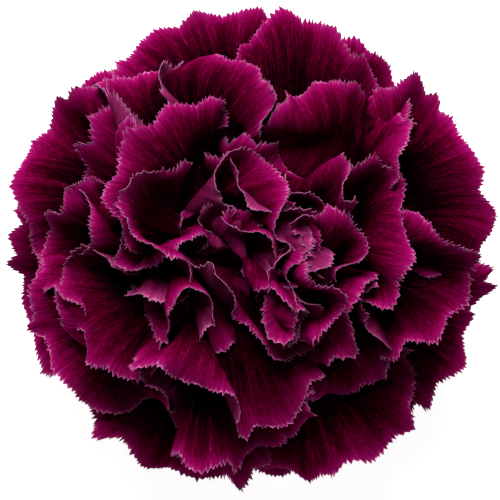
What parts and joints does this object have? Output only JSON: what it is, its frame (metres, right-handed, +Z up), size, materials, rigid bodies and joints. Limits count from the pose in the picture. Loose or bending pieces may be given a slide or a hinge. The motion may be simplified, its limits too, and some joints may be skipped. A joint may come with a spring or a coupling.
{
  "type": "carnation flower head",
  "caption": "Double carnation bloom, deep burgundy with toothed magenta edges, cut just under its green calyx and standing face up.",
  "frame": {"origin": "the middle of the flat cut under the calyx, which is where the flower head stands on its surface", "axes": "+Z up along the flower's own axis, from the cut through the heart of the bloom; +X and +Y lie along the surface, and +Y is the top of the picture"},
  "size_m": [0.0786, 0.0785, 0.0534],
  "materials": {
    "petal": "soft matt petal, streaked, with a pale magenta rim",
    "calyx": "waxy, ribbed, blue-green",
    "stalk": "waxy green stalk, pale and moist where it is cut",
    "pistil": "smooth, pale greenish cream"
  },
  "bodies": {
    "root": {"petal_01": "petal", "petal_02": "petal", "petal_03": "petal", "petal_04": "petal", "petal_05": "petal", "petal_06": "petal", "petal_07": "petal", "petal_08": "petal", "petal_09": "petal", "petal_10": "petal", "petal_11": "petal", "petal_12": "petal", "petal_13": "petal", "petal_14": "petal", "petal_15": "petal", "petal_16": "petal", "petal_17": "petal", "petal_18": "petal", "petal_19": "petal", "petal_20": "petal", "petal_21": "petal", "petal_22": "petal", "petal_23": "petal", "petal_24": "petal", "petal_25": "petal", "petal_26": "petal", "petal_27": "petal", "petal_28": "petal", "petal_29": "petal", "petal_30": "petal", "petal_31": "petal", "petal_32": "petal", "petal_33": "petal", "petal_34": "petal", "petal_35": "petal", "petal_36": "petal", "petal_37": "petal", "petal_38": "petal", "petal_39": "petal", "petal_40": "petal", "petal_41": "petal", "petal_42": "petal", "petal_43": "petal", "petal_44": "petal", "calyx": "calyx", "bract_1": "calyx", "bract_2": "calyx", "bract_3": "calyx", "bract_4": "calyx", "receptacle": "stalk", "ovary": "pistil", "style_left": "pistil", "style_right": "pistil"}
  },
  "joints": []
}
